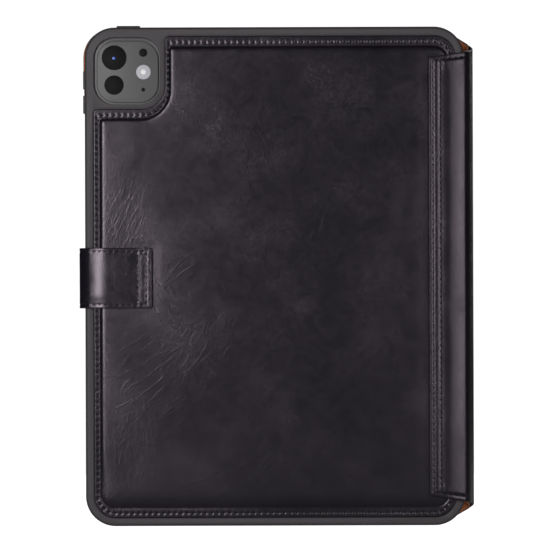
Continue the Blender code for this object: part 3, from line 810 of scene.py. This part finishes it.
def leather_paint(name, creases=(), rough=(0.21, 0.27)):
    """Smooth aniline leather: mottled, with fine pores and hair lines, and creases in patches.

    creases are (centre, size, turn of the patch, spacing, turn of the lines, strength).
    """
    paint = Paint(name)
    paint.flat_source()
    mottle = paint.noise(38, 5, 0.6, 0.6)
    colour = paint.ramp(mottle, (0.3, (0.0064, 0.0054, 0.0092)), (0.7, (0.0112, 0.0094, 0.0148)))
    veins = paint.noise(9, 6, 0.65, 1.2)
    roughness = paint.remap(veins, 0.3, 0.7, *rough)
    long_grain = paint.noise(1.6, 4, 0.6, source=paint.moved(stretch=(1, 0.45, 1), turn=12))
    pores = paint.cells(0.85, source=paint.moved(stretch=(1, 0.7, 1)))
    pits = paint.remap(pores, 0.0, 0.22, 0.0, 0.35)
    grain = paint.math("ADD", paint.math("MULTIPLY", long_grain, 0.8), pits)
    worn = paint.remap(paint.noise(45, 2, 0.5), 0.38, 0.62, 0.25, 1.0)
    normal = paint.bump(paint.math("MULTIPLY", grain, worn), 0.055)
    for i, (centre, size, turn, spacing, line_turn, strength) in enumerate(creases):
        ridges = paint.wrinkles(spacing, line_turn, shift=7.3 * i)
        broken = paint.remap(paint.noise(spacing * 4, 3, 0.6), 0.36, 0.6)
        patch = paint.patch(centre, size, turn)
        height = paint.math("MULTIPLY", paint.math("MULTIPLY", ridges, broken), patch)
        normal = paint.bump(height, strength * 0.13, under=normal)
    paint.shader.inputs["Specular Tint"].default_value = (1.0, 0.87, 0.98, 1)
    return paint.finish(colour, roughness, normal, Specular_IOR_Level=0.42)


def microfibre_paint(name, dark, light):
    paint = Paint(name)
    paint.flat_source()
    nap = paint.noise(0.5, 4, 0.7)
    cloud = paint.noise(22, 4, 0.6, 0.8)
    shade = paint.math("ADD", paint.math("MULTIPLY", nap, 0.45), paint.math("MULTIPLY", cloud, 0.55))
    colour = paint.ramp(shade, (0.32, dark), (0.68, light))
    normal = paint.bump(paint.math("ADD", nap, paint.noise(2.2, 3)), 0.07)
    roughness = paint.remap(cloud, 0.3, 0.7, 0.82, 0.95)
    return paint.finish(colour, roughness, normal, Sheen_Weight=0.25, Sheen_Roughness=0.5)


def plastic_paint(name, dark, light, grain=0.035, rough=(0.5, 0.6)):
    """Moulded soft-touch plastic with a fine spark-eroded grain."""
    paint = Paint(name)
    paint.space_source()
    speck = paint.noise(0.35, 3, 0.6)
    cloud = paint.noise(30, 3, 0.5)
    shade = paint.math("ADD", paint.math("MULTIPLY", speck, 0.4), paint.math("MULTIPLY", cloud, 0.6))
    colour = paint.ramp(shade, (0.35, dark), (0.65, light))
    normal = paint.bump(speck, grain)
    return paint.finish(colour, paint.remap(cloud, 0.3, 0.7, *rough), normal, Specular_IOR_Level=0.45)


def thread_paint():
    """Waxed black polyester, twisted."""
    paint = Paint("waxed_thread")
    paint.space_source()
    twist = paint.lines(0.35, 35, 0.6)
    colour = paint.ramp(twist, (0.2, (0.004, 0.0035, 0.004)), (0.8, (0.013, 0.011, 0.013)))
    roughness = paint.remap(twist, 0, 1, 0.85, 0.7)
    return paint.finish(colour, roughness, paint.bump(twist, 0.08), Specular_IOR_Level=0.2)


def foam_paint():
    paint = Paint("grey_foam")
    paint.space_source()
    cells = paint.cells(0.6)
    colour = paint.ramp(cells, (0.0, (0.1, 0.1, 0.11)), (0.3, (0.34, 0.34, 0.36)))
    return paint.finish(colour, paint.remap(cells, 0, 0.4, 0.95, 0.85), paint.bump(cells, 0.25))


def board_paint():
    paint = Paint("fibre_board")
    paint.space_source()
    fibres = paint.noise(1.2, 5, 0.7, source=paint.moved(stretch=(1, 1, 0.15)))
    colour = paint.ramp(fibres, (0.3, (0.2, 0.15, 0.1)), (0.7, (0.36, 0.29, 0.21)))
    return paint.finish(colour, paint.remap(fibres, 0, 1, 0.75, 0.9), paint.bump(fibres, 0.08))


def metal_paint(name, dark, light, stretch):
    """Plated sheet or magnet, with the marks of rolling or grinding."""
    paint = Paint(name)
    paint.space_source()
    marks = paint.noise(0.5, 4, 0.6, source=paint.moved(stretch=stretch))
    colour = paint.ramp(marks, (0.3, dark), (0.7, light))
    roughness = paint.remap(marks, 0.3, 0.7, 0.24, 0.4)
    return paint.finish(colour, roughness, paint.bump(marks, 0.02), Metallic=1.0)


MIDDLE_V = (BOTTOM + TOP) / 2
BACK_CREASES = (
    # centre, size, turn of the patch, spacing, turn of the lines, strength
    ((LEFT + 34, BOTTOM + 76), (36, 46), -20, 2.6, 42, 0.28),
    ((LEFT + 22, BOTTOM + 40), (20, 46), 0, 1.5, 88, 0.2),
    ((TAB_END + 16, MIDDLE_V + 6), (20, 9), 32, 2.4, 34, 0.34),
    ((22, MIDDLE_V + 34), (10, 22), -20, 1.6, 72, 0.24),
    ((LEFT + 62, BOTTOM + 98), (24, 34), -35, 1.9, 52, 0.24),
    ((-2, BOTTOM + 30), (42, 24), 25, 2.2, 40, 0.22),
    ((LEFT + 20, MIDDLE_V + 36), (20, 34), 10, 1.6, 66, 0.26),
    ((-10, MIDDLE_V + 82), (40, 30), 0, 1.8, 120, 0.14),
    ((60, MIDDLE_V + 40), (30, 60), 0, 2.4, 85, 0.14),
)
BACK_LEATHER = leather_paint("back_panel_leather", BACK_CREASES)
COVER_CREASES = (
    ((OUTSIDE.cover_u(-40), BOTTOM + 80), (40, 60), 20, 2.6, 60, 0.26),
    ((OUTSIDE.cover_u(50), TOP - 70), (34, 46), -30, 2.2, 20, 0.22),
    ((OUTSIDE.cover_u(10), MIDDLE_V), (50, 30), 10, 1.8, 100, 0.2),
)
COVER_LEATHER = leather_paint("covering_leather", COVER_CREASES)
STRAP_LEATHER = leather_paint("strap_leather", rough=(0.19, 0.24))
TAN = microfibre_paint("tan_microfibre", (0.52, 0.15, 0.055), (0.76, 0.25, 0.1))
THREAD = thread_paint()
FOAM = foam_paint()
SHELL = plastic_paint("soft_touch_plastic", (0.0475, 0.0405, 0.0465), (0.0595, 0.0515, 0.0585))
BUTTON = plastic_paint("button_plastic", (0.03, 0.028, 0.031), (0.04, 0.037, 0.041), 0.02, (0.42, 0.5))


# ---------------------------------------------------------------- leather, pads and linings


def metres(*sizes):
    return tuple(size * MM for size in sizes)


def area_of(corners, u=None, side="below"):
    """Flat area in square metres of an outline, or of its part below or above u."""
    x, y = trace(corners, counts_for(corners, 4)).T
    if u is not None:
        x = np.minimum(x, u) if side == "below" else np.maximum(x, u)
    return float(abs(np.dot(x, np.roll(y, -1)) - np.dot(y, np.roll(x, -1))) / 2 * MM * MM)


def make_foam(name, outline, relief, depth, route, grid, body, node):
    """A foam pad just under the leather. depth is how far its own back lies behind the flat sheet."""
    def top(points, inset):
        return relief(points, inset) - LEATHER - 0.1

    def thickness(points, inset):
        return np.maximum(top(points, inset) + depth, 0.25)

    sheet = Sheet(grown(outline, -0.6), top, thickness, 3, grid, rings=(0, 0.6, 1.8, 4), edge=0.15)
    foam = bent_sheet(name, sheet, route, FOAM)
    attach(foam, body)
    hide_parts(node)


def make_back():
    lines = np.arange(LEFT + 7, RIGHT - 6, 1.9)
    sheet = Sheet(BACK_RIM, back_relief, even(LEATHER), spacing=0.85, grid=1.9, u_lines=lines)
    leather = bent_sheet("back_leather_panel", sheet, facing_back(0), BACK_LEATHER)
    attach(leather, "tray")
    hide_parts("back_leather")
    area_of(BACK_RIM)
    make_foam("back_foam_pad", BACK_PAD, back_relief, 0.85, facing_back(0), 5, "tray", "back_pad")


def make_covering():
    """Leather and lining over flap, spine and front cover, each in two pieces that meet on the spine."""
    lines = OUTSIDE.route.u_lines(2.4, 0.5, 6, OUTSIDE.route.length() - 6)
    leather = Sheet(OUTSIDE.corners, covering_relief, covering_thickness, 0.85, 2.6, lines)
    lines = INSIDE.route.u_lines(3.2, 0.4, 6, INSIDE.route.length() - 6)
    skin = Sheet(INSIDE.corners, flap_skin_relief, even(LINING), 1.2, 3.2, lines, edge=0.15)
    for name, sheet, covering, side, nodes in (
        ("flap_covering", leather, OUTSIDE, "below", ("flap_leather", "spine_leather")),
        ("flap_lining_skin", skin, INSIDE, "below", ("flap_lining", "spine_lining")),
        ("front_covering", leather, OUTSIDE, "above", ("cover_leather",)),
        ("front_lining_skin", skin, INSIDE, "above", ("cover_lining",)),
    ):
        paint, slot = (COVER_LEATHER, "black_leather") if sheet is leather else (TAN, "tan_lining")
        middle = covering.middle
        piece = bent_sheet(name, sheet, covering.route, paint, (middle, side))
        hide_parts(*nodes)
        if side == "below":
            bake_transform(piece)
            size = metres(middle, FOLD_FRONT_TOP - FOLD_FRONT_BOTTOM)
        else:
            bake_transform(piece)
            size = metres(covering.route.length() - middle, COVER_TOP - COVER_BOTTOM)
        area_of(covering.corners, middle, side)
    make_foam("cover_foam_pad", COVER_PAD, lambda p, d: covering_relief(p, d + 7), LEATHER,
              OUTSIDE.route, 6, "cover", "cover_pad")


def make_strap():
    route, inner = STRAP_ROUTE, STRAP_LINING_ROUTE
    lines = route.u_lines(1.6, 0.8, 4, route.length() - 4)
    rings = (0, 0.08, 0.22, 0.42, 0.8, 1.3, 1.8, 2.3, 2.8, 3.4)
    outline = strap_outline(route, 0)
    sheet = Sheet(outline, strap_relief, strap_thickness, 0.6, 1.4, lines, rings)
    skin_outline = strap_outline(inner, 0.5)
    lines = inner.u_lines(2, 0.5, 4, inner.length() - 4)
    skin = Sheet(skin_outline, strap_skin_relief, even(LINING), 1.2, 3, lines, (0, 0.15, 1, 2.5), 0.15)
    for name, shape, along, paint, slot in (
        ("leather", sheet, route, STRAP_LEATHER, "black_leather"),
        ("lining", skin, inner, TAN, "tan_lining"),
    ):
        knots = along.knots
        cut = (knots[2][0] + knots[3][0]) / 2
        root = bent_sheet(f"strap_root_{name}", shape, along, paint, (cut, "below"))
        tab = bent_sheet(f"strap_{name}", shape, along, paint, (cut, "above"))
        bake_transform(root)
        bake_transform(tab)
        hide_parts(f"strap_side_{name}")
        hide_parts(f"strap_tab_{name}")
        width = STRAP_TOP - STRAP_BOTTOM
        metres(along.length() - cut, width)


# ---------------------------------------------------------------- stitches


def stitches(name, path, closed, route, height, body, node):
    """A row of sunk stitches of waxed thread along a path of the flat sheet, leaning to its side."""
    path = np.asarray(path, float)
    if closed:
        path = np.vstack((path, path[:1]))
    run = np.linalg.norm(np.diff(path, axis=0), axis=1)
    reach = np.concatenate(([0], np.cumsum(run)))
    count = max(2, round(reach[-1] / STITCH_PITCH))
    places = (np.arange(count) + 0.5) * reach[-1] / count
    centres = np.column_stack([np.interp(places, reach, path[:, k]) for k in (0, 1)])
    ahead = np.column_stack([np.interp(places + 0.3, reach, path[:, k]) for k in (0, 1)])
    headings = np.arctan2(*(ahead - centres).T[::-1]) + math.radians(STITCH_SLANT)
    shares = np.linspace(-1, 1, 7)
    sides = 7
    points, faces = [], []
    level = height(centres)
    for centre, heading, base in zip(centres, headings, level):
        along = np.array((math.cos(heading), math.sin(heading)))
        across = np.array((-along[1], along[0]))
        first = len(points)
        for share in shares:
            spot = centre + along * share * STITCH_LENGTH / 2
            thick = THREAD_RADIUS * (1 - 0.5 * share**2)
            sink = THREAD_SINK + THREAD_DIVE * share**2
            for k in range(sides):
                angle = 2 * math.pi * k / sides
                flat = spot + across * math.cos(angle) * thick
                points.append((*flat, base - sink + math.sin(angle) * thick))
        for ring in range(len(shares) - 1):
            for k in range(sides):
                a, b = first + ring * sides + k, first + ring * sides + (k + 1) % sides
                faces.append((a, b, b + sides, a + sides))
        faces.append(tuple(first + k for k in reversed(range(sides))))
        faces.append(tuple(first + (len(shares) - 1) * sides + k for k in range(sides)))
    mesh = mesh_from(name, place(route(np.array(points))), faces)
    face_outwards(mesh)
    piece = add(name, mesh, THREAD)
    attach(piece, body)
    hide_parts(node)


def level_at(value):
    return lambda points: np.full(len(points), float(value))


def make_stitches():
    def on_flap(points):
        return flap_dip(FLAP_X + points[:, 0]) + 0.12

    def on_strap(points):
        x = TAB_END - (STRAP_ROUTE.length() - points[:, 0])
        return strap_dip(x) + strap_fall(x)

    seam = trace(BACK_SEAM, counts_for(BACK_SEAM, 0.8))
    edge_row, second_row = flap_rows()
    around, inner_row = strap_rows()
    for name, path, closed, route, height, body in (
        ("back", seam, True, facing_back(0), level_at(RIM), "tray"),
        ("flap_edge", edge_row, False, OUTSIDE.route, on_flap, "tray"),
        ("flap_row", second_row, False, OUTSIDE.route, on_flap, "tray"),
        ("cover", cover_row(), False, OUTSIDE.route, level_at(-0.05), "cover"),
        ("strap_edge", around, False, STRAP_ROUTE, on_strap, "strap_tab"),
        ("strap_row", inner_row, False, STRAP_ROUTE, on_strap, "strap_tab"),
    ):
        stitches(f"{name}_stitches", path, closed, route, height, body, f"{name}_thread")


# ---------------------------------------------------------------- shell


def slab(corners, levels, spacing=1.0):
    """A closed mesh between levels of Y. levels are (y, how far the outline is grown there)."""
    counts = counts_for(corners, spacing)
    rings = [(trace(grown(corners, by), counts), y) for y, by in levels]
    around = len(rings[0][0])
    points = np.vstack([np.column_stack((flat[:, 0], np.full(around, y), flat[:, 1])) for flat, y in rings])
    faces = [tuple(range(around)), tuple(reversed(range((len(rings) - 1) * around, len(rings) * around)))]
    for k in range(len(rings) - 1):
        for j in range(around):
            n = (j + 1) % around
            faces.append((k * around + j, (k + 1) * around + j, (k + 1) * around + n, k * around + n))
    mesh = mesh_from("slab", place(points), faces)
    face_outwards(mesh)
    return mesh


def rounded_levels(low, high, radius, steps=6):
    """Levels of a slab with rounded edges."""
    turns = [math.pi / 2 * k / steps for k in range(steps + 1)]
    start = [(low + radius * (1 - math.sin(a)), -radius * (1 - math.cos(a))) for a in reversed(turns)]
    end = [(high - radius * (1 - math.sin(a)), -radius * (1 - math.cos(a))) for a in turns]
    return start + end


def upright_slot(low, high):
    """A box between two corners, as a mesh."""
    shape = bmesh.new()
    bmesh.ops.create_cube(shape, size=1)
    mesh = bpy.data.meshes.new("slot")
    shape.to_mesh(mesh)
    shape.free()
    low, high = place(low), place(high)
    size = Matrix.Diagonal((*(high - low), 1))
    mesh.transform(Matrix.Translation((low + high) / 2) @ size)
    return mesh


def cut_out(piece, meshes):
    """Cuts meshes out of a piece and keeps the result as its mesh."""
    cutters = []
    for mesh in meshes:
        cutter = link("cutter", mesh)
        step = piece.modifiers.new("cut", "BOOLEAN")
        step.operation, step.solver, step.object = "DIFFERENCE", "MANIFOLD", cutter
        cutters.append(cutter)
    bpy.context.view_layer.update()
    ready = piece.evaluated_get(bpy.context.evaluated_depsgraph_get())
    made = bpy.data.meshes.new_from_object(ready)
    piece.modifiers.clear()
    piece.data = made
    for cutter in cutters:
        bpy.data.objects.remove(cutter, do_unlink=True)


BAY = rounded_rectangle(-108.05, 108.05, 3.1, HEIGHT - 3.1, 15.8)
SCREEN_OPENING = grown(BAY, -1.8)
CAMERA = rounded_rectangle(-104.3, -66.0, 243.8, 282.6, 12.0)
BACK_WALL = 2.6
LIP = DEPTH - 1.0
SLOT_MIDDLE = 5.85
BUTTON_GAP, BUTTON_FLANGE, BUTTON_PAST = 0.25, 0.9, 1.0


def button_cuts(name, axis, inside):
    """The hole for a button's cap, which goes right through the wall, and the room for its flange."""
    low, high = case_box(name)
    low, high = low - BUTTON_GAP, high + BUTTON_GAP
    narrower = np.full(3, BUTTON_FLANGE)
    narrower[axis] = -BUTTON_PAST
    cap = upright_slot(low + narrower, high - narrower)
    low[axis], high[axis] = inside
    return [cap, upright_slot(low, high)]


def make_shell():
    outer = rounded_rectangle(-WIDTH / 2, WIDTH / 2, 0, HEIGHT, 17.3)
    mesh = slab(outer, rounded_levels(0, DEPTH, 1.6))
    shell = add("moulded_shell", mesh, SHELL)
    past = 2
    seat = slab(grown(BACK_RIM, 0.3), [(-past, 0.35), (0, 0.35), (0.25, 0), (1.0, 0)])
    bay = slab(BAY, [(BACK_WALL, 0), (LIP, 0)])
    screen = slab(SCREEN_OPENING, [(LIP - past, 0), (DEPTH - 0.5, 0), (DEPTH, 0.4), (DEPTH + past, 0.4)])
    camera = slab(CAMERA, [(-past, 0.3), (0, 0.3), (0.35, 0), (BACK_WALL + past, 0)])
    cuts = [seat, bay, screen, camera]
    for z, x in ((0, -72), (0, 72), (HEIGHT, -46), (HEIGHT, 46)):
        cuts.append(upright_slot((x - 15, SLOT_MIDDLE - 1.4, z - 6), (x + 15, SLOT_MIDDLE + 1.4, z + 6)))
    cuts.append(upright_slot((-6.5, SLOT_MIDDLE - 2.4, -6), (6.5, SLOT_MIDDLE + 2.4, 6)))
    side = -WIDTH / 2
    cuts += button_cuts("power_button", 2, (HEIGHT - 3.6, HEIGHT - 1.55))
    cuts += button_cuts("volume_up_button", 0, (side + 0.85, side + 1.9))
    cuts += button_cuts("volume_down_button", 0, (side + 0.85, side + 1.9))
    cut_out(shell, cuts)
    shell.data.set_sharp_from_angle(angle=math.radians(38))
    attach(shell, "tray")
    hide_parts("tray_shell")


def paint_nodes():
    """Gives the CAD nodes that stay their finished materials."""
    steel = metal_paint("plated_steel", (0.42, 0.43, 0.45), (0.6, 0.61, 0.63), (0.05, 1, 1))
    magnet = metal_paint("nickel_magnet", (0.34, 0.34, 0.36), (0.48, 0.48, 0.5), (1, 1, 0.2))
    board = board_paint()
    dark = plastic_paint("black_microfibre", (0.02, 0.02, 0.022), (0.034, 0.034, 0.037), 0.12, (0.85, 0.95))
    paints = {
        "tray_lining": dark, "strap_catch_plate": steel, "flap_catch_plate": steel,
        "spine_stiffener": board, "cover_board": board,
    }
    for name in frame["nodes"]:
        if "magnet" in name:
            paints[name] = magnet
        elif "button" in name:
            paints[name] = BUTTON
    for name, paint in paints.items():
        node = frame["nodes"][name]
        for slot in node.material_slots:
            slot.material = paint


# ---------------------------------------------------------------- tablet, camera and light


def prop(name, mesh, paint):
    made = link(name, mesh)
    mesh.materials.append(paint)
    return made


def disc_outline(x, z, radius):
    return rounded_rectangle(x - radius, x + radius, z - radius, z + radius, radius * 0.999)


def make_tablet():
    """The tablet in the tray, as a prop: it shows through the camera opening and fills the bay."""
    body = plastic_paint("tablet_back", (0.035, 0.035, 0.036), (0.042, 0.042, 0.043), 0.01, (0.35, 0.4))
    plate = plastic_paint("camera_plate", (0.072, 0.0705, 0.0715), (0.082, 0.0795, 0.081), 0.008, (0.4, 0.45))
    black = plastic_paint("camera_glass", (0.002, 0.002, 0.002), (0.004, 0.004, 0.0035), 0.0, (0.5, 0.55))
    black.node_tree.nodes["Principled BSDF"].inputs["Specular IOR Level"].default_value = 0.12
    pale = plastic_paint("flash_lens", (0.42, 0.42, 0.46), (0.6, 0.6, 0.65), 0.1, (0.3, 0.4))
    # painted light: the flash's middle is near-white so that it looks lit, brighter than the lens round it
    painted_flash_glow = plastic_paint("flash_middle", (0.92, 0.92, 0.95), (1.0, 1.0, 1.0), 0.1, (0.3, 0.4))
    # painted reflection: a small blue disc stands for a glint of light on the wide lens
    glint_blue = plastic_paint("painted_lens_glint", (0.05, 0.1, 0.5), (0.1, 0.25, 0.9), 0.0, (0.1, 0.15))
    tablet = rounded_rectangle(-107.75, 107.75, 3.4, HEIGHT - 3.4, 15.5)
    prop("tablet_body", slab(tablet, rounded_levels(3.35, 8.4, 0.8, 4)), body)
    prop("tablet_screen", slab(grown(tablet, -1.2), rounded_levels(8.3, 8.62, 0.1, 2)), black)
    hump = rounded_rectangle(-102.6, -67.0, 244.8, 280.7, 11)
    prop("camera_plate", slab(hump, rounded_levels(1.3, 4, 0.5, 4)), plate)
    for name, x, z, radius, level, paint in (
        ("wide_lens", -92.5, 270.9, 7.15, 0.75, black),
        ("depth_lens", -92.6, 255.1, 5.6, 1.1, black),
        ("range_sensor", -75.7, 273.8, 2.4, 1.15, black),
        ("flash", -75.6, 262.6, 4.2, 1.1, pale),
        ("flash_middle", -75.6, 262.7, 1.5, 1.0, painted_flash_glow),
        ("microphone", -75.7, 252.4, 1.15, 1.2, black),
    ):
        prop(name, slab(disc_outline(x, z, radius), rounded_levels(level, 3, 0.12, 2), 0.5), paint)
    prop("lens_glint", slab(disc_outline(-92.7, 270.6, 0.9), rounded_levels(0.7, 1.5, 0.1, 2), 0.3), glint_blue)


VIEW_WIDTH = 319.2
LENS = 600
AIM = (0.72, 0, 144.4)


def make_camera():
    data = bpy.data.cameras.new("camera")
    data.lens = LENS
    camera = link("camera", data)
    distance = VIEW_WIDTH * LENS / 36
    spot = Vector(place((AIM[0], AIM[1] - distance, AIM[2])))
    lean = Matrix.Rotation(math.radians(0.18), 4, "Y")
    camera.matrix_world = Matrix.Translation(spot) @ lean @ Matrix.Rotation(math.pi / 2, 4, "X")
    bpy.context.scene.camera = camera


def softbox(name, azimuth, elevation, distance, size, power):
    """A soft light seen from the object at this azimuth (from -Y towards +X) and elevation, in degrees."""
    data = bpy.data.lights.new(name, "AREA")
    data.shape = "RECTANGLE"
    data.size, data.size_y = size
    data.energy = power
    light = link(name, data)
    a, e = math.radians(azimuth), math.radians(elevation)
    way = Vector((math.sin(a) * math.cos(e), -math.cos(a) * math.cos(e), math.sin(e)))
    aim = Vector(place((0, 0, HEIGHT / 2)))
    light.location = aim + way * distance
    light.rotation_euler = (-way).to_track_quat("-Z", "Y").to_euler()
    light.visible_camera = False


def make_stage():
    shape = bmesh.new()
    bmesh.ops.create_circle(shape, cap_ends=True, segments=96, radius=1.4)
    mesh = bpy.data.meshes.new("floor")
    shape.to_mesh(mesh)
    shape.free()
    floor = Paint("pale_floor")
    floor.space_source()
    tone = floor.noise(200, 2)
    colour = floor.ramp(tone, (0.3, (0.9, 0.9, 0.9)), (0.7, (0.92, 0.92, 0.92)))
    floor.finish(colour, floor.remap(tone, 0, 1, 0.85, 0.9), floor.bump(tone, 0.01))
    floor.shader.inputs["Emission Color"].default_value = (1, 1, 1, 1)
    seen = floor.node("ShaderNodeLightPath").outputs["Is Camera Ray"]
    floor.tree.links.new(seen, floor.shader.inputs["Emission Strength"])
    ground = prop("floor", mesh, floor.material)
    ground.location = place((0, 0, -0.35))
    world = bpy.data.worlds.new("studio")
    world.use_nodes = True
    tree = world.node_tree
    tree.nodes.clear()
    output = tree.nodes.new("ShaderNodeOutputWorld")
    mix = tree.nodes.new("ShaderNodeMixShader")
    path = tree.nodes.new("ShaderNodeLightPath")
    for k, (tone, strength) in enumerate(((0.85, 0.05), (1.0, 1.05))):
        light = tree.nodes.new("ShaderNodeBackground")
        light.inputs["Color"].default_value = (tone, tone, tone, 1)
        light.inputs["Strength"].default_value = strength
        tree.links.new(light.outputs[0], mix.inputs[k + 1])
    tree.links.new(path.outputs["Is Camera Ray"], mix.inputs[0])
    tree.links.new(mix.outputs[0], output.inputs["Surface"])
    bpy.context.scene.world = world
    softbox("left_softbox", -19, 9, 0.85, (0.12, 0.44), 3.1)
    softbox("right_softbox", 22, 0, 0.85, (0.1, 0.6), 1.6)
    softbox("rear_softbox", 180, 14, 1.4, (1.0, 0.8), 4)
    bpy.context.scene.view_settings.view_transform = "Standard"


make_shell()
make_back()
make_covering()
make_strap()
make_stitches()
paint_nodes()
make_tablet()
make_camera()
make_stage()
